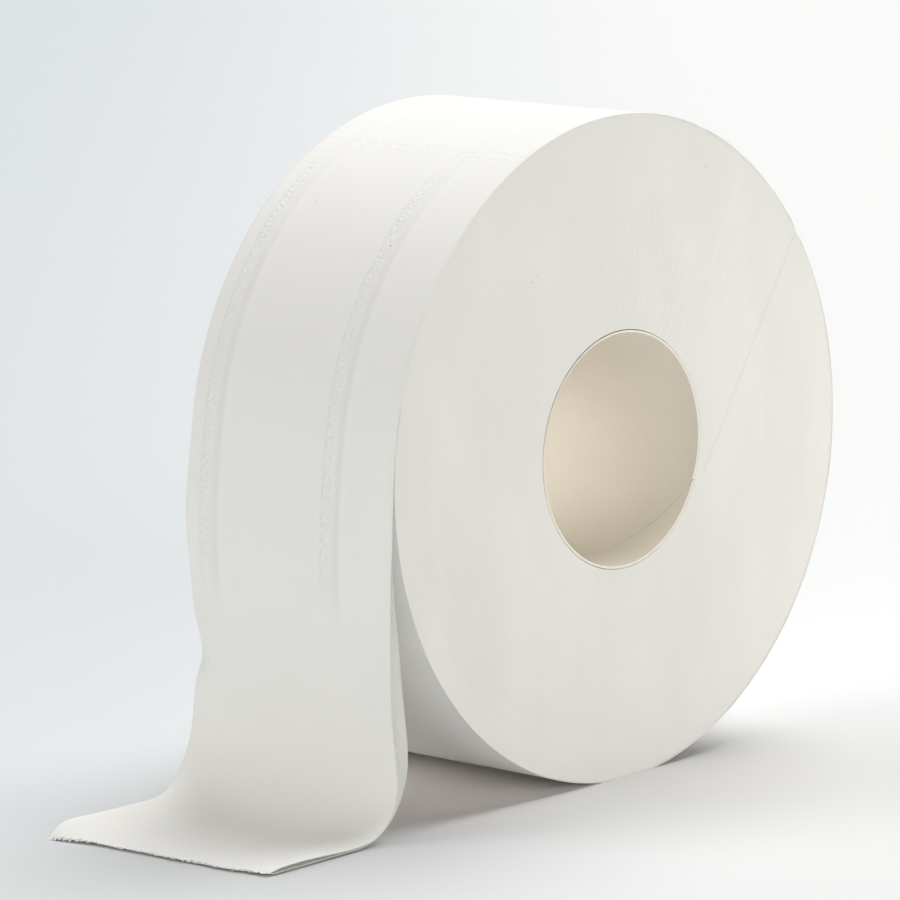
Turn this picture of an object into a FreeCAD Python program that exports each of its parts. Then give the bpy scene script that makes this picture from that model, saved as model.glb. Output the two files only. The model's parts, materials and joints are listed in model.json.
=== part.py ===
import FreeCAD, Part
import os
from math import cos, pi, radians, sin, sqrt

# A jumbo roll of toilet tissue that stands on its tread, with the end of the web hanging down to the floor.
# Millimetres. The origin is the middle of the core's bore, +Y runs along the bore and +Z is up.
# The front end face looks along -Y, and the tail hangs on the -X side.

# Roll
roll_diameter = 220.0
web_width = 89.0
flat_width = 24.0        # the part of the soft tread that the roll's weight presses flat

# Core, a tube of wound paperboard
core_bore = 77.0
core_wall = 1.0

# Web, both plies together
web_thickness = 0.4
web_slack = 0.15         # air between the last turn and the turn under it, where the tail lets go

# Tail. Angles of the roll are from +X, counterclockwise as seen from the front.
let_go_angle = 171.0
tail_length = 180.0      # from where it lets go to where it was torn off
tail_spans = 8           # the tail's surface is ruled between this many spans of the width

# How the tail hangs at its front and back edges
swing_front = 0.7        # how far it hangs out past the tread
swing_back = 2.4
lean_front = 6.5         # degrees that it comes back in under the roll
lean_back = 3.5
foot_front = 19.0        # radius at which it turns out on to the floor
foot_back = 27.0
margin_lift = 6.0        # the back edge of the tail's foot stands this far off the floor
margin_width = 28.0      # the strip beside that edge that rises to it

# Knurled lines that press the plies together: shallow grooves round the tread, placed from the back edge
knurl_places = [11.7, 65.2]
knurl_width = 3.0
knurl_depth = 0.25

# Worked out from the sizes above
roll_radius = roll_diameter / 2
core_outer_radius = core_bore / 2 + core_wall
front_y = -web_width / 2
back_y = web_width / 2
floor_z = -sqrt(roll_radius ** 2 - (flat_width / 2) ** 2)
along_y = FreeCAD.Vector(0, 1, 0)


def on_circle(radius, degrees, y):
    return FreeCAD.Vector(radius * cos(radians(degrees)), y, radius * sin(radians(degrees)))


def arc(start, middle, end):
    return Part.Arc(start, middle, end).toShape()


def line(start, end):
    return Part.LineSegment(start, end).toShape()


def wound_turns():
    """The wound turns as one block. Its tread is a spiral that steps in by one turn under the tail."""
    under_radius = roll_radius - web_thickness - web_slack
    flat_right = FreeCAD.Vector(flat_width / 2, front_y, floor_z)
    flat_left = FreeCAD.Vector(-flat_width / 2, front_y, floor_z)
    step_outside = on_circle(roll_radius, let_go_angle, front_y)
    step_inside = on_circle(under_radius, let_go_angle, front_y)
    spiral_middle = on_circle((roll_radius + under_radius) / 2, (let_go_angle + 270) / 2, front_y)
    outline = Part.Wire([
        arc(step_outside, on_circle(roll_radius, 45, front_y), flat_right),
        line(flat_right, flat_left),
        arc(flat_left, spiral_middle, step_inside),
        line(step_inside, step_outside),
    ])
    block = Part.Face(outline).extrude(along_y * web_width)
    for place in knurl_places:
        block = block.cut(knurl(back_y - place))
    return block


def knurl(y):
    """The ring that leaves one shallow round groove when it is cut from the tread."""
    section_radius = ((knurl_width / 2) ** 2 + knurl_depth ** 2) / (2 * knurl_depth)
    ring_radius = roll_radius - knurl_depth + section_radius
    return Part.makeTorus(ring_radius, section_radius, FreeCAD.Vector(0, y, 0), along_y)


class TailSection:
    """The tail at one place across the web: two arcs hang down, one turns on to the floor, and a line lies on it.

    A heading is the angle between the web's run and straight down, positive away from the roll.
    """

    def __init__(self, share):
        self.y = front_y + share * web_width
        self.half = web_thickness / 2
        swing = swing_front + share * (swing_back - swing_front)
        self.lean = radians(lean_front + share * (lean_back - lean_front))
        self.foot = foot_front + share * (foot_back - foot_front)
        rise = max(0.0, 1 - (back_y - self.y) / margin_width)
        lift = margin_lift * rise ** 2

        self.leave = radians(180 - let_go_angle)
        start = on_circle(roll_radius - self.half, let_go_angle, self.y)
        outermost_x = -(roll_radius + swing - self.half)
        self.bow = (start.x - outermost_x) / (1 - cos(self.leave))
        self.bow_centre = FreeCAD.Vector(outermost_x + self.bow, self.y, start.z - self.bow * sin(self.leave))
        foot_top_z = floor_z + self.half + lift + self.foot * (1 + sin(self.lean))
        self.drape = (self.bow_centre.z - foot_top_z) / sin(self.lean)
        self.drape_centre = FreeCAD.Vector(outermost_x + self.drape, self.y, self.bow_centre.z)
        self.foot_centre = self.drape_centre + self.outward(-self.lean) * (self.drape + self.foot)

    def outward(self, heading):
        return FreeCAD.Vector(-cos(heading), 0, sin(heading))

    def side(self, offset):
        """The points of one side of the web, at this offset from its middle, positive away from the roll."""
        turned_in = [
            self.bow_centre + self.outward(heading) * (self.bow + offset)
            for heading in (self.leave, self.leave / 2, 0)
        ]
        leaned = [
            self.drape_centre + self.outward(heading) * (self.drape + offset)
            for heading in (-self.lean / 2, -self.lean)
        ]
        turned_out = [
            self.foot_centre - self.outward(heading) * (self.foot - offset)
            for heading in ((pi / 2 - self.lean) / 2, pi / 2)
        ]
        used = self.bow * self.leave + self.drape * self.lean + self.foot * (pi / 2 + self.lean)
        end = turned_out[-1] - FreeCAD.Vector(tail_length - used, 0, 0)
        return turned_in + leaned + turned_out + [end]

    def wire(self):
        outer = self.side(self.half)
        inner = self.side(-self.half)
        edges = [arc(*outer[i:i + 3]) for i in (0, 2, 4)] + [line(outer[6], outer[7])]
        edges.append(line(outer[7], inner[7]))
        edges.append(line(inner[7], inner[6]))
        edges += [arc(*reversed(inner[i:i + 3])) for i in (4, 2, 0)]
        edges.append(line(inner[0], outer[0]))
        return Part.Wire(edges)


def tail():
    sections = [TailSection(i / tail_spans).wire() for i in range(tail_spans + 1)]
    return Part.makeLoft(sections, True, True)


def tissue_web():
    bore = Part.makeCylinder(core_outer_radius, web_width, FreeCAD.Vector(0, front_y, 0), along_y)
    return wound_turns().fuse(tail()).cut(bore).removeSplitter()


def core_tube():
    end = FreeCAD.Vector(0, front_y, 0)
    outside = Part.makeCylinder(core_outer_radius, web_width, end, along_y)
    inside = Part.makeCylinder(core_bore / 2, web_width, end, along_y)
    return outside.cut(inside)


os.makedirs("parts", exist_ok=True)
for name, build in (("core_tube", core_tube), ("tissue_web", tissue_web)):
    shape = build()
    print(name, "solids", len(shape.Solids), "valid", shape.isValid(), "volume", round(shape.Volume, 1))
    if len(shape.Solids) != 1:
        raise ValueError(name + " is not one solid")
    shape.Solids[0].exportStep("parts/" + name + ".step")
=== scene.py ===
import json
from math import atan2, cos, exp, hypot, pi, radians, sin, tau

import bmesh
import bpy
from bpy.props import FloatProperty, FloatVectorProperty, IntProperty, PointerProperty
from mathutils import Matrix, Vector, noise


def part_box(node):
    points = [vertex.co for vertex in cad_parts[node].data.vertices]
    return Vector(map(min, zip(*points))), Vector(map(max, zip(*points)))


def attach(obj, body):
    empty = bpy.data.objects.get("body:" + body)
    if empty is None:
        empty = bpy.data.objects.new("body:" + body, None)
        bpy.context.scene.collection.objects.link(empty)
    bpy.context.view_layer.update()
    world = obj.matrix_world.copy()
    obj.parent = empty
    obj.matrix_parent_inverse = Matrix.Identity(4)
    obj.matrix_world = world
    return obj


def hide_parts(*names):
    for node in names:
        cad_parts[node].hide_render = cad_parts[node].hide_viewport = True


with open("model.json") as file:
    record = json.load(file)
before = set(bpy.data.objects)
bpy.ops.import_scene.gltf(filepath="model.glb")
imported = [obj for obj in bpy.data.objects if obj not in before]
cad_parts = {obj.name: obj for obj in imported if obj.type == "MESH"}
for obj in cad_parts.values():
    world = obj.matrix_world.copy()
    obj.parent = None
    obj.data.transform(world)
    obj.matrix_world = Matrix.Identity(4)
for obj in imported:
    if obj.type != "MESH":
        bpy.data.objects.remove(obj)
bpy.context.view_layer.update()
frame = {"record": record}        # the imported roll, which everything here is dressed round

bl_info = {
    "name": "Toilet Paper Roll",
    "version": (1, 0, 0),
    "blender": (4, 5, 0),
    "location": "View3D > Sidebar > Paper Roll",
    "description": "A jumbo roll of two-ply toilet tissue, its last sheet hanging down to the floor",
    "category": "Object",
}

# Metres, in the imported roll's frame: the bore runs along Y through the origin, +Z is up, the front end
# face looks along -Y and the web hangs on the -X side. A place "along" the web is 0 where it lets go of
# the roll, negative on the roll and positive on the tail. A place "across" the web is its Y.
MM = 0.001
WEB_LOW, WEB_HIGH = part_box("tissue_web")
FRONT_Y = WEB_LOW.y
BACK_Y = WEB_HIGH.y
FLOOR_Z = WEB_LOW.z
ROLL_RADIUS = WEB_HIGH.z
CORE_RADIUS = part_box("core_tube")[1].z
BORE_RADIUS = next(m["dims"]["r_mm"] for m in frame["record"]["mounts"] if m["name"] == "core_bore") * MM
CLEARANCE = 0.02 * MM          # air between the last turn and the turns under it
MERGE_DISTANCE = 0.001 * MM

# How the tail hangs: millimetres from where it lets go, and the heading there in degrees. A heading is
# the angle between the web's run and straight down, positive away from the roll, and it changes evenly
# in between.
MIDDLE_HEADINGS = ((0, 9), (22, 6), (60, -4), (98, -4), (140, 89), (180, 90))
FRONT_OUTER_HEADINGS = (
    (0, 9), (20, 4), (75, 1), (96, -7), (108, -3), (133, 84), (144, 93), (160, 92), (170, 88), (178, 76))
FRONT_UNDER_HEADINGS = (
    (0, 9), (20, 6), (48, -6), (70, -5), (94, -7), (104, 6), (130, 66), (140, 90), (180, 90))
BACK_HEADINGS = (
    (0, 9), (20, 9), (45, -7), (75, 0), (100, 10), (118, 39), (130, 90), (168, 92), (182, 28))

# Marks on the front end face, in millimetres from the bore's middle: across to +X, then up. A speck's
# place is followed by its radius.
BLADE_LINE = ((41.3, -13.0), (47.7, -3.8), (88.7, 58.9), (91.3, 60.6))
BLADE_WIDTH = 0.9 * MM
SCRATCH = ((26.6, 32.4), (30.1, 42.9), (42.3, 49.4))
SCRATCH_WIDTH = 0.7 * MM
CUT_DEPTH = 0.1 * MM           # of the blade's line and of the scratch
LIGHT_SCUFF = ((42.3, 49.4), (57.2, 73.0), (61.0, 81.9))
LIGHT_SCUFF_WIDTH = 1.5 * MM
SCUFFS_MIDDLE = (27, 56)
SCUFFS_REACH = (52, 34)
SCUFFS_HEIGHT = 0.7 * MM
FACE_SPECKS = (
    ((44.0, 88.1), 0.7), ((-43.0, 60.4), 0.7), ((-40.6, 62.0), 0.6),
    ((-3.0, 39.4), 0.8), ((3.5, 38.4), 0.6),
)

# Notches in the rim of the front end face, in degrees from +X
RIM_NOTCHES = (67.4, 33.6)
NOTCH_DEPTH = 1.6 * MM
NOTCH_WIDTH = 1.3 * MM

# Marks on the web, in millimetres: along it, then across. A speck's place is followed by its radius,
# and a crease's start and end by its depth and width.
SHEET_SPECKS = (((-64.7, -18.2), 0.6), ((-79.1, 24.4), 0.4))
FOOT_CREASES = (
    ((161, 34), (138, 32.5), 0.7, 2.6),
    ((161, 21.4), (144, 16.7), 0.5, 2.4),
    ((158, -2), (146, -8.2), 0.35, 2.4),
    ((158, -19.5), (143, -23), 0.35, 2.4),
)
FOOT_START = 70 * MM           # no crease reaches further up
BLISTER_REACH = 5 * MM         # no blister is further from its perforation
WAVE_LENGTH = 26 * MM
WAVE_WIDTH = 19 * MM


class RollSizes(bpy.types.PropertyGroup):
    web_thickness: FloatProperty(
        name="Web Thickness", description="Both plies together", default=0.4 * MM, unit="LENGTH")
    web_slack: FloatProperty(
        name="Web Slack", description="Air under the last turn where it lets go", default=0.15 * MM,
        unit="LENGTH")
    flat_width: FloatProperty(
        name="Flat Width", description="The part of the tread that the weight presses flat",
        default=24 * MM, unit="LENGTH")
    let_go_angle: FloatProperty(
        name="Let-go Angle", description="Where the web leaves the roll, counterclockwise from +X",
        default=radians(171), subtype="ANGLE")
    tuck_length: FloatProperty(
        name="Tuck Length", description="How far the last turn is followed in under itself",
        default=12 * MM, unit="LENGTH")
    edge_proud: FloatProperty(
        name="Edge Proud", description="How far the last turn's edges stand out past the end faces",
        default=0.1 * MM, unit="LENGTH")
    face_wave: FloatProperty(
        name="Face Wave", description="How uneven the end faces are", default=0.12 * MM, unit="LENGTH")
    rim_rounding: FloatProperty(
        name="Rim Rounding", description="How far the outermost turns fall back at the end faces",
        default=0.05 * MM, unit="LENGTH")
    face_rings: IntProperty(
        name="Face Rings", description="Rings of faces on each end face", default=56)
    turn_steps: IntProperty(name="Turn Steps", description="Faces round the wound turns", default=400)


class CoreSizes(bpy.types.PropertyGroup):
    seam_slope: FloatProperty(
        name="Seam Slope",
        description="How far the wound seam runs along the bore for each metre round it", default=0.524)
    seam_angle: FloatProperty(
        name="Seam Angle", description="Where the seam meets the front end", default=radians(-23.3),
        subtype="ANGLE")
    seam_step: FloatProperty(
        name="Seam Step", description="How far the board's edge stands proud at the seam",
        default=0.16 * MM, unit="LENGTH")
    seam_gap: FloatProperty(
        name="Seam Gap", description="Width of the seam's dark line", default=0.35 * MM, unit="LENGTH")
    slack_depth: FloatProperty(
        name="Slack Depth", description="Gap between core and web at the front, at its widest",
        default=0.6 * MM, unit="LENGTH")
    slack_middle: FloatProperty(
        name="Slack Middle", description="Where that gap is widest", default=radians(133),
        subtype="ANGLE")
    slack_spread: FloatProperty(
        name="Slack Spread", description="How far round the gap reaches to each side",
        default=radians(42), subtype="ANGLE")
    slack_least: FloatProperty(
        name="Slack Least", description="That gap elsewhere, as a share of its widest", default=0.3,
        subtype="FACTOR")
    layer_height: FloatProperty(
        name="Layer Height", description="How uneven the board's cut ends are", default=0.05 * MM,
        unit="LENGTH")
    steps: IntProperty(name="Steps", description="Faces round the core", default=240)


class WebMarks(bpy.types.PropertyGroup):
    knurl_places: FloatVectorProperty(
        name="Knurl Places", description="The two knurled lines, from the web's middle",
        default=(32.8 * MM, -20.7 * MM), size=2, unit="LENGTH")
    knurl_width: FloatProperty(
        name="Knurl Width", description="Width of a knurled line's groove", default=3.0 * MM,
        unit="LENGTH")
    knurl_depth: FloatProperty(
        name="Knurl Depth", description="Depth of that groove", default=0.25 * MM, unit="LENGTH")
    knurl_ridge: FloatProperty(
        name="Knurl Ridge", description="Height of the ridge in front of the groove", default=0.1 * MM,
        unit="LENGTH")
    knurl_fade: FloatVectorProperty(
        name="Knurl Fade",
        description="Where the lines begin to fade on the tail, and where they are gone",
        default=(44 * MM, 66 * MM), size=2, unit="LENGTH")
    knurl_start: FloatVectorProperty(
        name="Knurl Start",
        description="Where the lines begin to show on the last turn, and where they are full",
        default=(-570 * MM, -520 * MM), size=2, unit="LENGTH")
    shoulder: FloatProperty(
        name="Shoulder", description="Where the knurled lines show most", default=-150 * MM,
        unit="LENGTH")
    dot_offset: FloatProperty(
        name="Dot Offset", description="From a groove to the middle of its band of dots",
        default=4.4 * MM, unit="LENGTH")
    ridge_offset: FloatProperty(
        name="Ridge Offset", description="From a groove to the soft ridge in front of it",
        default=3.6 * MM, unit="LENGTH")
    margin_line: FloatProperty(
        name="Margin Line", description="A soft groove just inside the front edge", default=-41.7 * MM,
        unit="LENGTH")
    margin_width: FloatProperty(
        name="Margin Width", description="Width of that groove, to each side", default=1.2 * MM,
        unit="LENGTH")
    margin_depth: FloatProperty(
        name="Margin Depth", description="Depth of that groove", default=0.15 * MM, unit="LENGTH")
    margin_start: FloatVectorProperty(
        name="Margin Start", description="Where it begins on the last turn, and where it is full",
        default=(-55 * MM, -33 * MM), size=2, unit="LENGTH")
    sheet_length: FloatProperty(
        name="Sheet Length", description="From one perforation to the next", default=146 * MM,
        unit="LENGTH")
    last_perforation: FloatProperty(
        name="Last Perforation", description="Where the last sheet begins", default=36.5 * MM,
        unit="LENGTH")
    row_offset: FloatProperty(
        name="Row Offset", description="From a perforation to the row of blisters on each side of it",
        default=1.5 * MM, unit="LENGTH")
    row_width: FloatProperty(
        name="Row Width", description="Width of such a row, to each side", default=0.7 * MM,
        unit="LENGTH")
    slit_width: FloatProperty(
        name="Slit Width", description="Width of the perforation's slits, to each side",
        default=0.45 * MM, unit="LENGTH")
    blade_wander: FloatProperty(
        name="Blade Wander", description="How far the perforations wander", default=0.9 * MM,
        unit="LENGTH")
    pebble_height: FloatProperty(
        name="Pebble Height", description="Height of the pebbles in the knurled bands",
        default=0.6 * MM, unit="LENGTH")
    blister_height: FloatProperty(
        name="Blister Height", description="Height of the blisters beside a perforation",
        default=0.08 * MM, unit="LENGTH")
    wave: FloatProperty(
        name="Wave", description="How far the web's surface wanders", default=0.12 * MM, unit="LENGTH")


class TailShape(bpy.types.PropertyGroup):
    front_length: FloatProperty(
        name="Front Length", description="The tail's length at its front edge", default=177.3 * MM,
        unit="LENGTH")
    back_length: FloatProperty(
        name="Back Length", description="The tail's length at its back edge", default=181 * MM,
        unit="LENGTH")
    front_width: FloatProperty(
        name="Front Width", description="The strip at the front edge in which the plies part",
        default=24 * MM, unit="LENGTH")
    back_width: FloatProperty(
        name="Back Width", description="The strip at the back edge that rises off the floor",
        default=28 * MM, unit="LENGTH")
    pinch_place: FloatProperty(
        name="Pinch Place", description="Where the back edge is pinched in", default=79 * MM,
        unit="LENGTH")
    pinch_depth: FloatProperty(
        name="Pinch Depth", description="How far it is pinched in", default=3.4 * MM, unit="LENGTH")
    end_lift: FloatProperty(
        name="End Lift", description="How far the torn edge stands off the floor", default=0.12 * MM,
        unit="LENGTH")
    edge_drop: FloatProperty(
        name="Edge Drop", description="How far the back edge falls behind the ridge", default=2.0 * MM,
        unit="LENGTH")
    ply_gap: FloatProperty(
        name="Ply Gap", description="Air between the plies where they lie together", default=0.02 * MM,
        unit="LENGTH")
    tear_wander: FloatProperty(
        name="Tear Wander", description="How far the torn edge wanders", default=0.7 * MM,
        unit="LENGTH")
    tear_teeth: FloatProperty(
        name="Tear Teeth", description="Length of the torn edge's teeth", default=2.0 * MM,
        unit="LENGTH")
    tear_curl: FloatProperty(
        name="Tear Curl", description="How far the teeth curl up and down", default=0.6 * MM,
        unit="LENGTH")


class Finish(bpy.types.PropertyGroup):
    tissue: FloatVectorProperty(
        name="Tissue", description="Colour of the tissue", default=(0.915, 0.91, 0.884),
        subtype="COLOR")
    end_face: FloatVectorProperty(
        name="End Face", description="Colour of the turns' cut edges", default=(0.792, 0.785, 0.743),
        subtype="COLOR")
    board: FloatVectorProperty(
        name="Board", description="Colour of the core's cream board", default=(0.92, 0.864, 0.757),
        subtype="COLOR")
    seam: FloatVectorProperty(
        name="Seam", description="Colour inside the core's seam", default=(0.35, 0.27, 0.18),
        subtype="COLOR")
    mark: FloatVectorProperty(
        name="Mark", description="Colour of specks and blade marks", default=(0.45, 0.42, 0.36),
        subtype="COLOR")
    # Painted highlight: the colour of the lit ridges beside the knurled lines
    ridge: FloatVectorProperty(
        name="Ridge", description="Colour of the soft ridges beside the knurled lines",
        default=(0.98, 0.975, 0.955), subtype="COLOR")
    scuffed: FloatVectorProperty(
        name="Scuffed", description="Colour of the light scuff", default=(0.95, 0.95, 0.94),
        subtype="COLOR")
    cloud: FloatProperty(
        name="Cloud", description="How cloudy the tissue's tone is", default=0.05, subtype="FACTOR")
    # Painted shade in the knurled grooves, over the pressed fibres' own dullness
    groove_shade_tone: FloatProperty(
        name="Groove Tone", description="How dull the knurled grooves are", default=0.42,
        subtype="FACTOR")
    # How strong the ridges' painted highlight is
    ridge_highlight_tone: FloatProperty(
        name="Ridge Tone", description="How pale the ridges beside them are", default=0.15,
        subtype="FACTOR")
    speck_tone: FloatProperty(
        name="Speck Tone", description="How dark the specks on the web are", default=0.6,
        subtype="FACTOR")
    face_speck_tone: FloatProperty(
        name="Face Speck Tone", description="How dark the specks on the end face are", default=0.35,
        subtype="FACTOR")
    blade_tone: FloatProperty(
        name="Blade Tone", description="How dark the blade's line is", default=0.13, subtype="FACTOR")
    scratch_tone: FloatProperty(
        name="Scratch Tone", description="How dark the scratch is", default=0.035, subtype="FACTOR")
    scuff_tone: FloatProperty(
        name="Scuff Tone", description="How dark the fanned scuffs are", default=0.12, subtype="FACTOR")
    light_tone: FloatProperty(
        name="Light Tone", description="How pale the light scuff is", default=0.1, subtype="FACTOR")
    fibre_height: FloatProperty(
        name="Fibre Height", description="Height of the fibres on the web's face", default=0.03 * MM,
        unit="LENGTH")
    cut_fibre_height: FloatProperty(
        name="Cut Fibre Height", description="Height of the fibres on the end faces", default=0.02 * MM,
        unit="LENGTH")
    tissue_roughness: FloatProperty(
        name="Tissue Roughness", description="Roughness of the tissue", default=0.95, subtype="FACTOR")
    tissue_gloss: FloatProperty(
        name="Tissue Gloss", description="Specular level of the tissue", default=0.2, subtype="FACTOR")
    board_roughness: FloatProperty(
        name="Board Roughness", description="Roughness of the board", default=0.7, subtype="FACTOR")
    board_gloss: FloatProperty(
        name="Board Gloss", description="Specular level of the board", default=0.3, subtype="FACTOR")


class Studio(bpy.types.PropertyGroup):
    # The floor's left and right colours, whose lightness is painted shade and painted light
    floor_left: FloatVectorProperty(
        name="Floor Left", description="Colour of the floor on the left", default=(0.64, 0.675, 0.70),
        subtype="COLOR")
    # Painted light: the left of the floor is paler in front of the roll, where the roll's shadow falls
    floor_near_painted_light: FloatVectorProperty(
        name="Floor Near", description="Colour of the floor on the left, in front of the roll",
        default=(0.74, 0.755, 0.775), subtype="COLOR")
    floor_right: FloatVectorProperty(
        name="Floor Right", description="Colour of the floor on the right", default=(0.85, 0.858, 0.85),
        subtype="COLOR")
    # Painted light: a warm, paler patch of floor between the tail and the roll, in the roll's shadow
    floor_under_painted_light: FloatVectorProperty(
        name="Floor Under", description="Colour of the floor between the tail and the roll",
        default=(0.93, 0.885, 0.865), subtype="COLOR")
    # Painted shadow: a darker patch of floor at the foot of the front end face, where the roll's shadow
    # falls
    floor_painted_shadow: FloatVectorProperty(
        name="Floor Beside", description="Colour of the floor at the foot of the front end face",
        default=(0.74, 0.737, 0.733), subtype="COLOR")
    # The middle of that painted light
    painted_light_place: FloatVectorProperty(
        name="Under Place", description="The middle of the patch between the tail and the roll",
        default=(-0.065, 0.005, FLOOR_Z), subtype="TRANSLATION")
    # The middle of that painted shadow
    painted_shadow_place: FloatVectorProperty(
        name="Beside Place", description="The middle of the patch at the foot of the front end face",
        default=(0.03, -0.065, FLOOR_Z), subtype="TRANSLATION")
    # Painted shade on the floor towards the camera
    floor_painted_shade: FloatProperty(
        name="Floor Shade", description="How much darker the floor is towards the camera", default=0.12,
        subtype="FACTOR")
    floor_radius: FloatProperty(
        name="Floor Radius", description="How far the floor reaches", default=9.0, unit="LENGTH")
    backdrop: FloatVectorProperty(
        name="Backdrop", description="Colour beyond the floor's edge", default=(0.9, 0.91, 0.915),
        subtype="COLOR")
    room: FloatVectorProperty(
        name="Room", description="Colour of the light from all round", default=(0.97, 0.985, 1.0),
        subtype="COLOR")
    room_strength: FloatProperty(
        name="Room Strength", description="Strength of that light", default=0.08)
    warm: FloatVectorProperty(
        name="Warm", description="Colour of the low lamps", default=(1.0, 0.98, 0.945), subtype="COLOR")
    side_power: FloatProperty(
        name="Side Power", description="The small lamp beside the front end face", default=0.3,
        unit="POWER")
    side_place: FloatVectorProperty(
        name="Side Place", description="Where it stands", default=(0.30, -0.38, -0.005),
        subtype="TRANSLATION")
    side_size: FloatProperty(name="Side Size", description="Its width", default=0.2, unit="LENGTH")
    key_angle: FloatProperty(
        name="Key Angle", description="How wide the high lamp looks from the roll", default=radians(45),
        subtype="ANGLE")
    low_angle: FloatProperty(
        name="Low Angle", description="How wide the low lamps look", default=radians(45),
        subtype="ANGLE")
    key_strength: FloatProperty(
        name="Key Strength", description="The high lamp on the right", default=2.93)
    key_from: FloatVectorProperty(
        name="Key From", description="Where its light comes from", default=(0.5, 0.05, 0.865),
        subtype="DIRECTION")
    back_strength: FloatProperty(
        name="Back Strength", description="The low lamp on the left, behind the roll", default=1.12)
    back_from: FloatVectorProperty(
        name="Back From", description="Where its light comes from", default=(-0.64, 0.64, 0.42),
        subtype="DIRECTION")
    front_strength: FloatProperty(
        name="Front Strength", description="The low lamp on the left, in front of the roll",
        default=1.45)
    front_from: FloatVectorProperty(
        name="Front From", description="Where its light comes from", default=(-0.45, -0.88, 0.15),
        subtype="DIRECTION")
    lens: FloatProperty(name="Lens", description="Focal length in millimetres", default=229.2)
    azimuth: FloatProperty(
        name="Azimuth", description="The camera's place round the roll, from -Y",
        default=radians(-48.242), subtype="ANGLE")
    elevation: FloatProperty(
        name="Elevation", description="The camera's height above the bore", default=radians(10.092),
        subtype="ANGLE")
    distance: FloatProperty(
        name="Distance", description="From the bore's middle to the camera", default=1.901,
        unit="LENGTH")
    aim: FloatVectorProperty(
        name="Aim", description="What the middle of the picture shows",
        default=(-16.26 * MM, 17.03 * MM, -4.42 * MM), subtype="TRANSLATION")
    roll: FloatProperty(
        name="Roll", description="How far the camera leans", default=radians(-1.091), subtype="ANGLE")


def bell(offset, width):
    """A smooth bump: 1 in the middle, 0.37 at this width to each side."""
    return exp(-((offset / width) ** 2))


def smooth_step(start, end, place):
    """0 at start and before it, 1 at end and past it, and smooth in between."""
    share = min(1.0, max(0.0, (place - start) / (end - start)))
    return share * share * (3 - 2 * share)


def edge_share(across, edge, width):
    """1 at an edge of the web, falling smoothly to 0 at this width in from it."""
    return max(0.0, 1 - abs(across - edge) / width) ** 2


def swell(x, y, z):
    """Smooth noise between -1 and 1, with swells about 1 wide. A fixed z picks the pattern."""
    return noise.noise(Vector((x, y, z)))


def stations(start, end, step_at):
    """Places from start to end, as far apart as step_at says."""
    places = [start]
    while places[-1] < end:
        places.append(places[-1] + step_at(places[-1]))
    stretch = (end - start) / (places[-1] - start)
    return [start + (place - start) * stretch for place in places]


class Rib:
    """One line down the tail. It leaves the roll along the tread, and then keeps to its headings."""

    step = 0.5 * MM

    def __init__(self, start, headings, length):
        self.headings = [(place * MM, radians(angle)) for place, angle in headings]
        x, z = start
        self.points = [(x, z, self.heading(0))]
        for k in range(int(length / self.step) + 2):
            heading = self.heading((k + 0.5) * self.step)
            x -= sin(heading) * self.step
            z -= cos(heading) * self.step
            self.points.append((x, z, self.heading((k + 1) * self.step)))

    def heading(self, along):
        for (start, first), (end, last) in zip(self.headings, self.headings[1:]):
            if along <= end:
                return first + (last - first) * (along - start) / (end - start)
        return self.headings[-1][1]

    def at(self, along):
        """The X, the Z and the heading there."""
        k = min(int(along / self.step), len(self.points) - 2)
        share = along / self.step - k
        return Vector(self.points[k]).lerp(Vector(self.points[k + 1]), share)


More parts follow.
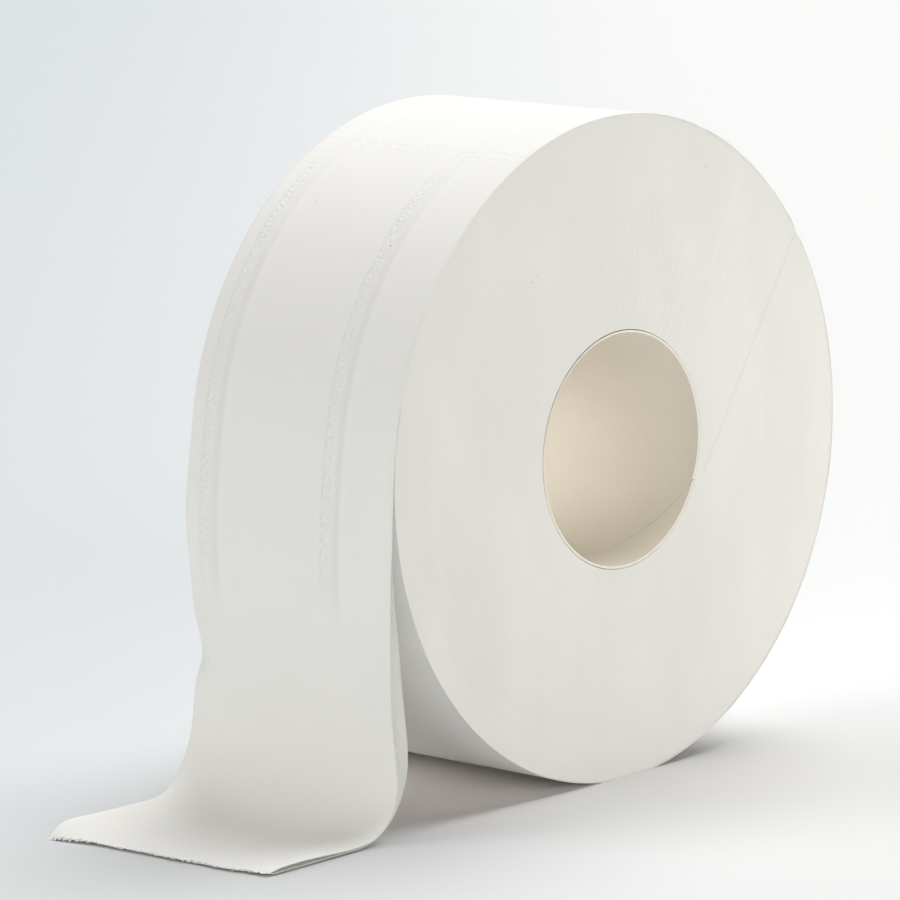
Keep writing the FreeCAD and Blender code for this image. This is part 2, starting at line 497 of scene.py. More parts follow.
class Web:
    """Where the web runs: once round the tread, and then down the tail."""

    def __init__(self, scene):
        self.sizes = scene.roll_sizes
        self.marks = scene.roll_marks
        self.tail = scene.roll_tail
        self.let_go = self.sizes.let_go_angle
        self.thickness = self.sizes.web_thickness
        self.step_in = self.thickness + self.sizes.web_slack
        self.flat_left = -pi / 2 - atan2(self.sizes.flat_width / 2, -FLOOR_Z)
        self.start = -tau * ROLL_RADIUS - self.sizes.tuck_length
        middle_radius = ROLL_RADIUS - self.thickness / 2
        start = (middle_radius * cos(self.let_go), middle_radius * sin(self.let_go))
        length = self.tail.back_length + self.tail.tear_wander
        self.middle = Rib(start, MIDDLE_HEADINGS, length)
        self.back = Rib(start, BACK_HEADINGS, length)
        self.front = {
            "outer": Rib(start, FRONT_OUTER_HEADINGS, length),
            "under": Rib(start, FRONT_UNDER_HEADINGS, length),
        }

    def tread_radius(self, angle):
        """The radius to the outside of the last turn, which spirals in to go under its own end."""
        share = (self.flat_left - angle) / (self.flat_left - (self.let_go - tau))
        return ROLL_RADIUS - self.step_in * min(1.0, max(0.0, share))

    def under_radius(self, angle):
        """The radius of the turns under the last one, at an angle in the turn up to the let-go angle."""
        tuck = self.sizes.tuck_length / ROLL_RADIUS
        room = self.step_in if angle > self.let_go - tuck else 0.0
        return self.tread_radius(angle) - self.thickness - room - CLEARANCE

    def relief(self, along, across):
        """How far the surface stands out: knurled lines, blisters, creases and slight waves."""
        marks = self.marks
        knurls = 0.0
        for line in marks.knurl_places:
            knurls -= marks.knurl_depth * bell(across - line, marks.knurl_width / 3)
            knurls += marks.knurl_ridge * bell(across - line + marks.ridge_offset, marks.knurl_width / 2)
        faded = smooth_step(*marks.knurl_fade, along)
        height = knurls * (smooth_step(*marks.knurl_start, along) - faded)
        margin = marks.margin_depth * bell(across - marks.margin_line, marks.margin_width)
        height -= margin * smooth_step(*marks.margin_start, along) * (1 - faded)
        height += self.blisters(along, across) - self.creases(along, across)
        height += marks.wave * swell(along / WAVE_LENGTH, across / WAVE_WIDTH, 3.0)
        return height

    def creases(self, along, across):
        """How deep the creases of the tail's foot are there."""
        depth = 0.0
        if along > FOOT_START:
            for start, end, deep, width in FOOT_CREASES:
                start, end = Vector(start) * MM, Vector(end) * MM
                run = end - start
                off = Vector((along, across)) - start
                share = off.dot(run) / run.length_squared
                nearest = run * min(1.0, max(0.0, share))
                depth += deep * MM * bell((off - nearest).length, width * MM)
        return depth

    def blisters(self, along, across):
        """The double row of small blisters that the perforating blade leaves, with its slits between."""
        marks = self.marks
        turn = round((along - marks.last_perforation) / marks.sheet_length)
        off = along - marks.last_perforation - turn * marks.sheet_length
        if abs(off) > BLISTER_REACH:
            return 0.0
        off -= marks.blade_wander * swell(across / (13 * MM), turn, 7.0)
        spots = swell(across / (0.9 * MM), turn, off / (1.3 * MM))
        rows = sum(bell(off + side * marks.row_offset, marks.row_width) for side in (-1, 1))
        slits = bell(off, marks.slit_width)
        return marks.blister_height * (rows * (0.5 + 1.4 * spots) - 0.3 * slits)

    def on_tread(self, along, across, lift):
        angle = self.let_go + along / ROLL_RADIUS
        radius = self.tread_radius(angle) + lift
        return Vector((radius * cos(angle), across, max(radius * sin(angle), FLOOR_Z)))

    def on_tail(self, along, across, lift, ply):
        """A point of the tail, this far out from the line where its plies meet."""
        tail = self.tail
        past_pinch = along - tail.pinch_place

        # The middle's run goes over into the front edge's and the back edge's, whose strip is narrowed
        # just below the pinch
        narrowed = 0.65 * bell(past_pinch - 12 * MM, 20 * MM)
        front = edge_share(across, FRONT_Y, tail.front_width)
        back = edge_share(across, BACK_Y, tail.back_width * (1 - narrowed))
        x, z, heading = (self.middle.at(along) * (1 - front - back)
                         + self.front[ply].at(along) * front + self.back.at(along) * back)

        # The back edge is pinched in, more sharply below than above
        pinch = bell(past_pinch, 11 * MM if past_pinch < 0 else 6 * MM)
        x += tail.pinch_depth * pinch * edge_share(across, BACK_Y, 8 * MM)

        # The torn edge stands off the floor, least of all at its front corner
        near_end = smooth_step(12 * MM, 0, self.torn_length(across, 0.0) - along)
        lifted = near_end * (1 - 0.8 * edge_share(across, FRONT_Y, 14 * MM))
        z += tail.end_lift * lifted * (1.0 if ply == "outer" else 0.5)

        # On the floor the back edge falls again behind the ridge beside it
        dropped = edge_share(across, BACK_Y, 5 * MM) * smooth_step(115 * MM, 135 * MM, along)
        z -= tail.edge_drop * dropped
        z = max(z, FLOOR_Z + self.thickness / 2)
        return Vector((x - lift * cos(heading), across, z + lift * sin(heading)))

    def outside(self, along, across):
        """A point of the web's outer face."""
        lift = self.relief(along, across)
        if along < 0:
            return self.on_tread(along, across, lift)
        return self.on_tail(along, across, lift + self.thickness / 2, "outer")

    def between(self, along, across):
        """A point of the under ply's upper face."""
        return self.on_tail(along, across, self.relief(along, across) - self.tail.ply_gap / 2, "under")

    def edge_wander(self, along, side):
        """How far an edge of the web stands proud of the end face there, less its notches."""
        proud = self.sizes.edge_proud * (1 + 0.6 * swell(along / (17 * MM), side * 5.0, 1.0))
        if side < 0:
            angle = self.let_go + along / ROLL_RADIUS
            for notch in RIM_NOTCHES:
                proud -= NOTCH_DEPTH * bell((angle - radians(notch)) * ROLL_RADIUS, NOTCH_WIDTH)
        return proud

    def to_edges(self, along, across):
        """The same place across the web, with the web's own uneven edges in it."""
        side = 1 if across > 0 else -1
        near_edge = smooth_step(0.93, 1.0, abs(across) / BACK_Y)
        return across + side * self.edge_wander(along, side) * near_edge

    def torn_length(self, across, phase):
        """How long the tail is there, up to its torn edge."""
        share = (across - FRONT_Y) / (BACK_Y - FRONT_Y)
        length = self.tail.front_length + share * (self.tail.back_length - self.tail.front_length)
        return length + self.tail.tear_wander * swell(across / (9 * MM), phase, 0.5)


def new_piece(name, bm, material, node):
    """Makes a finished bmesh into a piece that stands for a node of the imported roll."""
    bmesh.ops.remove_doubles(bm, verts=bm.verts[:], dist=MERGE_DISTANCE)
    bm.normal_update()
    mesh = bpy.data.meshes.new(name)
    bm.to_mesh(mesh)
    bm.free()
    mesh.shade_smooth()
    mesh.set_sharp_from_angle(angle=radians(40))
    mesh.materials.append(material)
    piece = bpy.data.objects.new(name, mesh)
    bpy.context.scene.collection.objects.link(piece)
    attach(piece, "root")
    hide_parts(node)
    return piece


def bent_sheet(along, across, thickness, place):
    """A flat grid, bent into place, given its thickness and kept off the floor.

    It has a line of points at each station. Its UV map holds each point's place along and across the
    web, in metres.
    """
    bm = bmesh.new()
    bmesh.ops.create_grid(bm, x_segments=len(along) - 1, y_segments=len(across) - 1, size=1.0)
    flat = bm.verts.layers.float_vector.new("flat")
    for point in bm.verts:
        i = round((point.co.x + 1) / 2 * (len(along) - 1))
        j = round((point.co.y + 1) / 2 * (len(across) - 1))
        point[flat] = (along[i], across[j], 0)
        point.co = place(i, j)
    bm.normal_update()
    bmesh.ops.solidify(bm, geom=bm.faces[:], thickness=thickness)
    web_map = bm.loops.layers.uv.new("web")
    for face in bm.faces:
        for loop in face.loops:
            loop[web_map].uv = loop.vert[flat].xy
    for point in bm.verts:
        point.co.z = max(point.co.z, FLOOR_Z)
    return bm


def across_stations(marks, fine, plain):
    """Places across the web, from its back edge to its front one, close together at the lines on it."""
    def step(place):
        near = min(abs(place - line) for line in (*marks.knurl_places, marks.margin_line))
        return fine if near < marks.knurl_width else plain

    return list(reversed(stations(FRONT_Y, BACK_Y, step)))


def build_wound_sheets(scene):
    """The last turn of the web, from under the tail once round the roll to the last perforation."""
    web = Web(scene)
    marks = web.marks
    plain_step, fine_step, fine_reach = 1.9 * MM, 0.7 * MM, 4 * MM

    def step(along):
        off = (along - marks.last_perforation) / marks.sheet_length
        to_perforation = abs(off - round(off)) * marks.sheet_length
        return fine_step if to_perforation < fine_reach else plain_step

    def place(i, j):
        return web.outside(along[i], web.to_edges(along[i], across[j]))

    along = stations(web.start, marks.last_perforation, step)
    across = across_stations(marks, 0.55 * MM, 1.1 * MM)
    bm = bent_sheet(along, across, web.thickness, place)
    piece = new_piece("wound_sheets", bm, sheet_material(scene), "tissue_web")


def build_last_sheet(scene):
    """The last sheet, as its two plies: they part along the front edge and at the torn corner."""
    web = Web(scene)
    marks, tail = web.marks, web.tail
    full = tail.back_length
    torn_strip = full - 3 * MM
    eased = full - 30 * MM
    torn_step, plain_step = 0.5 * MM, 1.1 * MM

    def step(along):
        return torn_step if along > torn_strip else plain_step

    along = stations(marks.last_perforation, full, step)
    across = across_stations(marks, 0.5 * MM, 0.62 * MM)
    torn_rows = {len(along) - 1: 1.0, len(along) - 2: 0.4}
    plies = (("last_sheet_outer_ply", 1.0, web.outside), ("last_sheet_under_ply", 2.0, web.between))
    for name, phase, point_at in plies:
        def place(i, j):
            torn = torn_rows.get(i, 0.0)
            tooth = torn * tail.tear_teeth * swell(j * 0.83, phase, 4.0)
            curl = torn * tail.tear_curl * swell(j * 0.91, phase, 9.0)
            shorter = web.torn_length(across[j], phase) - full
            at = along[i] + shorter * smooth_step(eased, full, along[i]) + tooth
            return point_at(at, web.to_edges(along[i], across[j])) + Vector((0, 0, curl))

        bm = bent_sheet(along, across, (web.thickness - tail.ply_gap) / 2, place)
        piece = new_piece(name, bm, sheet_material(scene), "tissue_web")


def spun_tube(inner, outer, rings, lengths, steps):
    """The skin of a thick tube round the bore, as long as the roll is wide: its section, spun round."""
    bm = bmesh.new()
    bmesh.ops.create_grid(bm, x_segments=rings, y_segments=lengths, size=1.0)
    bmesh.ops.delete(bm, geom=bm.faces[:], context="FACES_ONLY")
    within = [v for v in bm.verts if max(abs(v.co.x), abs(v.co.y)) < 0.999]
    bmesh.ops.delete(bm, geom=within, context="VERTS")
    for point in bm.verts:
        point.co = Vector((inner + (outer - inner) * (point.co.x + 1) / 2, BACK_Y * point.co.y, 0))
    bmesh.ops.spin(bm, geom=bm.verts[:] + bm.edges[:], cent=(0, 0, 0), axis=(0, 1, 0), angle=tau,
                   steps=steps, use_merge=True)
    bmesh.ops.remove_doubles(bm, verts=bm.verts[:], dist=MERGE_DISTANCE)
    return bm


def build_wound_turns(scene):
    """The wound turns under the last one: a spun tube, wound in a spiral and pressed flat below."""
    web = Web(scene)
    sizes = web.sizes
    lowest = FLOOR_Z + web.thickness + CLEARANCE
    bm = spun_tube(CORE_RADIUS, ROLL_RADIUS, rings=sizes.face_rings, lengths=3, steps=sizes.turn_steps)
    for point in bm.verts:
        x, y, z = point.co
        angle = atan2(z, x)
        if angle > web.let_go:
            angle -= tau
        share = (hypot(x, z) - CORE_RADIUS) / (ROLL_RADIUS - CORE_RADIUS)
        radius = CORE_RADIUS + share * (web.under_radius(angle) - CORE_RADIUS)

        # Groups of turns stand proud of the end faces, which also swell a little
        if abs(y) > 0.9 * BACK_Y:
            side = 1 if y > 0 else -1
            rings = swell(radius / (3.1 * MM), angle, side)
            uneven = rings + 0.6 * swell(x / (34 * MM), side, z / (34 * MM))
            fall = sizes.rim_rounding * smooth_step(0.985, 1.0, share)
            y = side * (BACK_Y - fall + sizes.face_wave * uneven * smooth_step(0.0, 0.05, share))
        point.co = Vector((radius * cos(angle), y, max(radius * sin(angle), lowest)))
    bmesh.ops.recalc_face_normals(bm, faces=bm.faces[:])
    new_piece("wound_turns", bm, wound_material(scene), "tissue_web")


def build_core(scene):
    """The core: a tube of board wound on a slant, with its last strip's edge proud along the seam."""
    core = scene.roll_core
    wall = CORE_RADIUS - BORE_RADIUS
    pitch = tau / core.steps
    line = core.seam_gap / BORE_RADIUS
    bm = spun_tube(BORE_RADIUS, CORE_RADIUS, rings=4, lengths=60, steps=core.steps)
    seam = bm.verts.layers.float.new("seam")
    for point in bm.verts:
        x, y, z = point.co
        radius = hypot(x, z)
        inner = 1 - (radius - BORE_RADIUS) / wall
        column = round(atan2(z, x) / pitch)
        turn = {-1: -line, 0: 0.0, 1: line}.get(column, column * pitch)
        angle = core.seam_angle - (y - FRONT_Y) / core.seam_slope / BORE_RADIUS + turn
        point[seam] = 1.0 if column == 0 else 0.0
        if column > 0:
            radius -= core.seam_step * inner * (1 - smooth_step(0.0, 1.0, column * pitch))

        # The board stands off the web at the front, all round and most of all at one place
        from_widest = (angle - core.slack_middle + pi) % tau - pi
        widest = bell(from_widest, core.slack_spread)
        slack = core.slack_depth * (core.slack_least + (1 - core.slack_least) * widest)
        radius -= slack * (1 - inner) * smooth_step(0.5, 1.0, -y / BACK_Y)

        # Its cut ends show the board's layers
        if abs(y) > 0.999 * BACK_Y:
            layer = core.layer_height * cos(3 * tau * inner)
            y += layer if y > 0 else -layer
        point.co = Vector((radius * cos(angle), y, radius * sin(angle)))
    bmesh.ops.recalc_face_normals(bm, faces=bm.faces[:])
    new_piece("wound_core", bm, board_material(scene), "core_tube")


class Graph:
    """Adds nodes to one tree and joins them up."""

    def __init__(self, tree):
        self.tree = tree

    def node(self, kind, inputs=(), **settings):
        node = self.tree.nodes.new(kind)
        for name, value in settings.items():
            setattr(node, name, value)
        for name, value in dict(inputs).items():
            self.feed(node.inputs[name], value)
        return node

    def feed(self, socket, value):
        if isinstance(value, bpy.types.NodeSocket):
            self.tree.links.new(value, socket)
        else:
            socket.default_value = value

    def math(self, operation, *values, clamp=False):
        node = self.node("ShaderNodeMath", enumerate(values), operation=operation, use_clamp=clamp)
        return node.outputs[0]

    def chain(self, operation, values):
        """The values, joined one after the other by the same operation."""
        total, *others = values
        for value in others:
            total = self.math(operation, total, value)
        return total

    def add(self, *values):
        return self.chain("ADD", values)

    def times(self, *values):
        return self.chain("MULTIPLY", values)

    def off(self, value, middle):
        """How far the value is from the middle, to either side."""
        return self.math("ABSOLUTE", self.math("SUBTRACT", value, middle))

    def swing(self, value, amount):
        """A noise round 0 instead of round a half, this many times as strong."""
        return self.times(self.math("SUBTRACT", value, 0.5), amount)

    def vector(self, operation, *values):
        node = self.node("ShaderNodeVectorMath", enumerate(values), operation=operation)
        return node.outputs["Value" if operation in ("DOT_PRODUCT", "LENGTH", "DISTANCE") else "Vector"]

    def fade(self, value, start, end):
        """1 up to start and 0 from end on, or the other way round where end is the smaller."""
        inputs = {"Value": value, "From Min": start, "From Max": end, "To Min": 1.0, "To Max": 0.0}
        return self.node("ShaderNodeMapRange", inputs, interpolation_type="SMOOTHSTEP").outputs[0]

    def noise(self, vector, scale, detail=2.0, roughness=0.5):
        """Smooth noise from 0 to 1. Its scale is the number of swells in a metre."""
        inputs = {"Vector": vector, "Scale": scale, "Detail": detail, "Roughness": roughness}
        return self.node("ShaderNodeTexNoise", inputs).outputs["Fac"]

    def rings(self, radius, scale):
        """Noise that depends on the radius alone, with this number of swells in a metre."""
        inputs = {"W": radius, "Scale": scale, "Detail": 2.0}
        return self.node("ShaderNodeTexNoise", inputs, noise_dimensions="1D").outputs["Fac"]

    def stretch(self, vector, scale):
        return self.node("ShaderNodeMapping", {"Vector": vector, "Scale": scale}).outputs[0]

    def join(self, **places):
        return self.node("ShaderNodeCombineXYZ", places).outputs[0]

    def split(self, vector):
        return self.node("ShaderNodeSeparateXYZ", {"Vector": vector}).outputs

    def mix(self, factor, first, second, blend="MIX"):
        node = self.node("ShaderNodeMix", data_type="RGBA", blend_type=blend)
        for name, value in (("Factor_Float", factor), ("A_Color", first), ("B_Color", second)):
            self.feed(next(s for s in node.inputs if s.identifier == name), value)
        return next(s for s in node.outputs if s.identifier == "Result_Color")

    def group(self, tree, **inputs):
        node = self.node("ShaderNodeGroup", node_tree=tree)
        for name, value in inputs.items():
            self.feed(node.inputs[name], value)
        return node


def new_group(name, inputs, outputs):
    """An empty node group with these named sockets, and its graph, its inputs and its output sockets."""
    tree = bpy.data.node_groups.new(name, "ShaderNodeTree")
    for label, kind in inputs:
        tree.interface.new_socket(label, in_out="INPUT", socket_type=kind)
    for label, kind in outputs:
        tree.interface.new_socket(label, in_out="OUTPUT", socket_type=kind)
    graph = Graph(tree)
    return tree, graph, graph.node("NodeGroupInput").outputs, graph.node("NodeGroupOutput").inputs


def fibre_group():
    """Tissue's matted fibres: a height in metres, and a faint cloudiness of tone."""
    name = "Tissue Fibres"
    if name in bpy.data.node_groups:
        return bpy.data.node_groups[name]
    tree, graph, given, out = new_group(
        name, (("Place", "NodeSocketVector"), ("Height", "NodeSocketFloat")),
        (("Height", "NodeSocketFloat"), ("Cloud", "NodeSocketFloat")))
    matted = graph.noise(given["Place"], 1100.0, 4.0, 0.65)
    combed = graph.noise(graph.stretch(given["Place"], (420.0, 1900.0, 1900.0)), 1.0, 3.0, 0.6)
    crepe = graph.noise(graph.stretch(given["Place"], (2600.0, 240.0, 240.0)), 1.0)
    rough = graph.add(matted, graph.times(combed, 0.6), graph.times(crepe, 0.7))
    graph.feed(out["Height"], graph.times(rough, given["Height"]))
    graph.feed(out["Cloud"], graph.noise(given["Place"], 55.0, 5.0, 0.6))
    return tree


def line_group():
    """1 on a straight line between two points, falling to 0 at its width to each side."""
    name = "Line Mark"
    if name in bpy.data.node_groups:
        return bpy.data.node_groups[name]
    tree, graph, given, out = new_group(
        name, (("Place", "NodeSocketVector"), ("Start", "NodeSocketVector"), ("End", "NodeSocketVector"),
               ("Width", "NodeSocketFloat")), (("Mask", "NodeSocketFloat"),))
    run = graph.vector("SUBTRACT", given["End"], given["Start"])
    off = graph.vector("SUBTRACT", given["Place"], given["Start"])
    reached = graph.vector("DOT_PRODUCT", off, run)
    share = graph.math("DIVIDE", reached, graph.vector("DOT_PRODUCT", run, run), clamp=True)
    scaled = graph.node("ShaderNodeVectorMath", {0: run, "Scale": share}, operation="SCALE")
    distance = graph.vector("DISTANCE", off, scaled.outputs["Vector"])
    far = graph.math("DIVIDE", distance, given["Width"])
    graph.feed(out["Mask"], graph.math("SUBTRACT", 1.0, far, clamp=True))
    return tree


def new_material(name):
    material = bpy.data.materials.new(name)
    material.use_nodes = True
    material.node_tree.nodes.clear()
    graph = Graph(material.node_tree)
    output = graph.node("ShaderNodeOutputMaterial")
    shader = graph.node("ShaderNodeBsdfPrincipled")
    graph.tree.links.new(shader.outputs[0], output.inputs["Surface"])
    return material, graph, shader


def surface(graph, shader, tone, height, roughness, gloss):
    """Gives the shader its colour, its relief in metres, its roughness and its specular level."""
    relief = graph.node("ShaderNodeBump", {"Strength": 1.0, "Distance": 1.0, "Height": height})
    graph.feed(shader.inputs["Normal"], relief.outputs[0])
    graph.feed(shader.inputs["Base Color"], tone)
    shader.inputs["Roughness"].default_value = roughness
    shader.inputs["Specular IOR Level"].default_value = gloss


def opaque(colour, shades=(1.0, 1.0, 1.0)):
    """The colour with its channels shaded, as a colour socket takes it."""
    return (*(channel * shade for channel, shade in zip(colour, shades)), 1.0)


def line_masks(graph, place, points, width):
    """The mask of a bent line on the front end face."""
    masks = []
    for start, end in zip(points, points[1:]):
        node = graph.group(line_group(), Place=place, Start=(start[0] * MM, FRONT_Y, start[1] * MM),
                           End=(end[0] * MM, FRONT_Y, end[1] * MM), Width=width)
        masks.append(node.outputs["Mask"])
    return graph.chain("MAXIMUM", masks)


def speck_masks(graph, place, specks, core):
    """The mask of round specks, from their places and radii. The core is this share of each radius."""
    masks = []
    for middle, radius in specks:
        distance = graph.vector("DISTANCE", place, middle)
        masks.append(graph.fade(distance, core * radius, radius))
    return graph.add(*masks)


def sheet_material(scene):
    """The web's face: matted fibres, the knurled lines with bands of pebbles, and the perforations."""
    name = "Tissue Sheet"
    if name in bpy.data.materials:
        return bpy.data.materials[name]
    finish, marks = scene.roll_finish, scene.roll_marks
    material, graph, shader = new_material(name)
    web_map = graph.node("ShaderNodeUVMap", uv_map="web").outputs[0]
    split = graph.split(web_map)
    along, across = split["X"], split["Y"]
    fibres = graph.group(fibre_group(), Place=web_map, Height=finish.fibre_height)

    # The knurled lines: a groove dulled by its pressed fibres and by painted shade, a ridge with a
    # painted highlight, and a band of pebbles, clearest over the shoulder
    on_roll = graph.times(graph.fade(along, marks.knurl_fade[0], marks.knurl_fade[1]),
                          graph.fade(along, marks.knurl_start[1], marks.knurl_start[0]))
    from_shoulder = graph.off(along, marks.shoulder)

    def beside_knurls(offset, start, end):
        """The lines at this offset from the knurled ones, which fade between these distances."""
        lines = [graph.fade(graph.off(across, line + offset), start, end) for line in marks.knurl_places]
        return graph.times(graph.add(*lines), on_roll)

    bands = graph.times(beside_knurls(marks.dot_offset, 1.0 * MM, 2.4 * MM),
                        graph.fade(from_shoulder, 70 * MM, 25 * MM))
    # Painted shade in the grooves, strongest over the shoulder, with the pressed fibres' own dullness
    pressed = graph.times(beside_knurls(0.0, 0.3 * MM, 3.0 * MM),
                          graph.fade(from_shoulder, 110 * MM, 20 * MM))
    # Painted highlight along the ridges in front of the grooves
    ridges = beside_knurls(-marks.ridge_offset, 0.2 * MM, 2.4 * MM)

    # The perforations: a row of pebbles on each side of the blade's wandering line, with gaps in it
    half_sheet = marks.sheet_length / 2
    from_blade = graph.math("WRAP", graph.math("SUBTRACT", along, marks.last_perforation),
                            half_sheet, -half_sheet)
    wander = graph.noise(graph.stretch(web_map, (0.0, 60.0, 1.0)), 1.0)
    from_blade = graph.add(from_blade, graph.swing(wander, 5 * MM))
    from_row = graph.off(graph.math("ABSOLUTE", from_blade), marks.row_offset)
    gaps = graph.fade(graph.noise(graph.stretch(web_map, (1.0, 110.0, 1.0)), 1.0, 1.0), 0.45, 0.36)
    stronger_on_roll = graph.math("MULTIPLY_ADD", graph.fade(along, 0, 30 * MM), 0.45, 0.15)
    rows = graph.times(graph.fade(from_row, 0.5 * MM, 1.7 * MM), gaps, stronger_on_roll)

    pebbles = graph.noise(web_map, 780.0, 1.0, 0.4)
    embossed = graph.add(graph.times(pebbles, bands), graph.swing(pebbles, rows))
    height = graph.add(fibres.outputs["Height"], graph.times(embossed, marks.pebble_height))

    # The dull tone carries the tissue's own cloudiness and the grooves' painted shade
    dull = opaque(finish.tissue, (0.86, 0.85, 0.85))
    cloud = graph.swing(fibres.outputs["Cloud"], finish.cloud)
    cloud_and_groove_shade = graph.math("ADD", graph.times(pressed, finish.groove_shade_tone), cloud, clamp=True)
    tone = graph.mix(cloud_and_groove_shade, opaque(finish.tissue), dull)
    places = [((x * MM, y * MM, 0.0), radius * MM) for (x, y), radius in SHEET_SPECKS]
    specks = speck_masks(graph, web_map, places, 0.3)
    tone = graph.mix(graph.times(specks, finish.speck_tone), tone, opaque(finish.mark))
    # Painted highlight on the ridges
    tone = graph.mix(graph.times(ridges, finish.ridge_highlight_tone), tone, opaque(finish.ridge))
    edge = graph.fade(graph.math("ABSOLUTE", across), BACK_Y - 0.01 * MM, BACK_Y - 0.3 * MM)
    tone = graph.mix(edge, tone, opaque(finish.end_face))
    surface(graph, shader, tone, height, finish.tissue_roughness, finish.tissue_gloss)
    return material


def wound_material(scene):
    """The end faces: the cut edges of hundreds of turns, with the marks of handling on the front one."""
    finish = scene.roll_finish
    material, graph, shader = new_material("Wound Tissue")
    place = graph.node("ShaderNodeTexCoord").outputs["Object"]
    split = graph.split(place)
    radius = graph.vector("LENGTH", graph.vector("MULTIPLY", place, (1.0, 0.0, 1.0)))
    fibres = graph.group(fibre_group(), Place=place, Height=finish.cut_fibre_height)
    at_front = graph.fade(split["Y"], FRONT_Y + 2 * MM, FRONT_Y + 4 * MM)

    # Scuffs fan out above the core, in streaks that follow the radius
    middle_x, middle_z = SCUFFS_MIDDLE
    reach_x, reach_z = SCUFFS_REACH
    from_scuffs = graph.vector("SUBTRACT", place, (middle_x * MM, FRONT_Y, middle_z * MM))
    per_reach = (1 / (reach_x * MM), 0.0, 1 / (reach_z * MM))
    region = graph.vector("LENGTH", graph.vector("MULTIPLY", from_scuffs, per_reach))
    angle = graph.math("ARCTAN2", split["X"], split["Z"])
    fan = graph.join(X=graph.times(angle, 26.0), Z=graph.times(radius, 45.0))
    streaks = graph.math("SUBTRACT", graph.noise(fan, 1.0, 3.0, 0.6), 0.5)
    scuffs = graph.times(streaks, graph.fade(region, 0.4, 1.1), at_front)

    blade = graph.times(line_masks(graph, place, BLADE_LINE, BLADE_WIDTH), at_front)
    scratch = graph.times(line_masks(graph, place, SCRATCH, SCRATCH_WIDTH), at_front)
    light = graph.times(line_masks(graph, place, LIGHT_SCUFF, LIGHT_SCUFF_WIDTH), at_front)
    places = [((x * MM, FRONT_Y, z * MM), radius_mm * MM) for (x, z), radius_mm in FACE_SPECKS]
    specks = graph.times(speck_masks(graph, place, places, 0.2), at_front)

    height = graph.add(
        fibres.outputs["Height"],
        graph.times(graph.rings(radius, 2600.0), 0.02 * MM),
        graph.times(graph.rings(radius, 240.0), 0.05 * MM),
        graph.times(graph.add(blade, scratch), -CUT_DEPTH),
        graph.times(scuffs, SCUFFS_HEIGHT))

    # Faint tall blotches, with painted light: the face turns paler and warmer towards the bottom
    blotch = graph.noise(graph.stretch(place, (1.0, 1.0, 0.4)), 24.0)
    painted_light_below = graph.math("MULTIPLY_ADD", split["Z"], -1.6, blotch)
    # The paler, warmer colour of that painted light
    warm = opaque(finish.end_face, (1.06, 1.045, 1.05))
    pale = graph.mix(graph.fade(painted_light_below, 0.38, 0.64), warm, opaque(finish.end_face))
    dark = graph.add(
        graph.times(blade, finish.blade_tone), graph.times(scratch, finish.scratch_tone),
        graph.times(specks, finish.face_speck_tone), graph.times(scuffs, finish.scuff_tone))
    darkened = graph.math("ADD", graph.swing(fibres.outputs["Cloud"], finish.cloud), dark, clamp=True)
    tone = graph.mix(darkened, pale, opaque(finish.mark))
    tone = graph.mix(graph.times(light, finish.light_tone), tone, opaque(finish.scuffed))
    surface(graph, shader, tone, height, finish.tissue_roughness, finish.tissue_gloss)
    return material


def board_material(scene):
    """The core's cream board, with long soft fibres, and darker in its seam."""
    finish = scene.roll_finish
    material, graph, shader = new_material("Core Board")
    place = graph.node("ShaderNodeTexCoord").outputs["Object"]
    split = graph.split(place)
    seam = graph.node("ShaderNodeAttribute", attribute_name="seam").outputs["Fac"]
    round_bore = graph.times(graph.math("ARCTAN2", split["Z"], split["X"]), BORE_RADIUS)
    unrolled = graph.join(X=round_bore, Y=split["Y"])
    combed = graph.noise(graph.stretch(unrolled, (260.0, 1400.0, 1.0)), 1.0, 4.0, 0.6)
    matted = graph.noise(place, 900.0, 4.0, 0.6)
    blotch = graph.noise(place, 60.0, 3.0)
    height = graph.times(graph.add(combed, matted), 0.03 * MM)
    darker = opaque(finish.board, (0.88, 0.88, 0.88))
    tone = graph.mix(graph.times(graph.add(combed, blotch), 0.5), opaque(finish.board), darker)
    tone = graph.mix(graph.fade(seam, 0.9, 0.45), tone, opaque(finish.seam))
    surface(graph, shader, tone, height, finish.board_roughness, finish.board_gloss)
    return material


def floor_material(scene, side, depth):
    """The sweep of pale paper that the roll stands on: bluish on the left, near white on the right, with
    painted light and shade in its tones.
    """
    studio = scene.roll_studio
    material, graph, shader = new_material("Pale Floor")
    place = graph.node("ShaderNodeTexCoord").outputs["Object"]
    across = graph.vector("DOT_PRODUCT", place, tuple(side))
    back = graph.vector("DOT_PRODUCT", place, tuple(depth))
    # Painted light: the left of the floor turns paler towards the camera
    left = graph.mix(graph.fade(back, 0.05, -0.25), opaque(studio.floor_near_painted_light), opaque(studio.floor_left))
    # Painted shade and light: darker on the left, near white on the right
    tone = graph.mix(graph.fade(across, 0.22, -0.36), left, opaque(studio.floor_right))

    # Two painted patches, each from a place on the floor out to where it is gone: painted shadow at the
    # foot of the front end face, and warm painted light between the tail and the roll
    patches = (
        (studio.painted_shadow_place, 0.03, 0.13, studio.floor_painted_shadow),
        (studio.painted_light_place, 0.04, 0.075, studio.floor_under_painted_light),
    )
    for middle, full, gone, colour in patches:
        distance = graph.vector("DISTANCE", place, tuple(middle))
        tone = graph.mix(graph.fade(distance, full, gone), tone, opaque(colour))

    # Painted shade: it darkens a little towards the camera. It also has a faint grain
    shade = graph.math("MULTIPLY_ADD", graph.fade(back, -0.30, 0.22), -studio.floor_painted_shade, 1.0)
    shade = graph.add(shade, graph.swing(graph.noise(place, 14.0, 4.0), 0.01))
    grey = graph.node("ShaderNodeCombineColor", {"Red": shade, "Green": shade, "Blue": shade}).outputs[0]
    height = graph.times(graph.noise(place, 900.0), 0.01 * MM)
    surface(graph, shader, graph.mix(1.0, tone, grey, "MULTIPLY"), height, 0.9, 0.1)
    return material


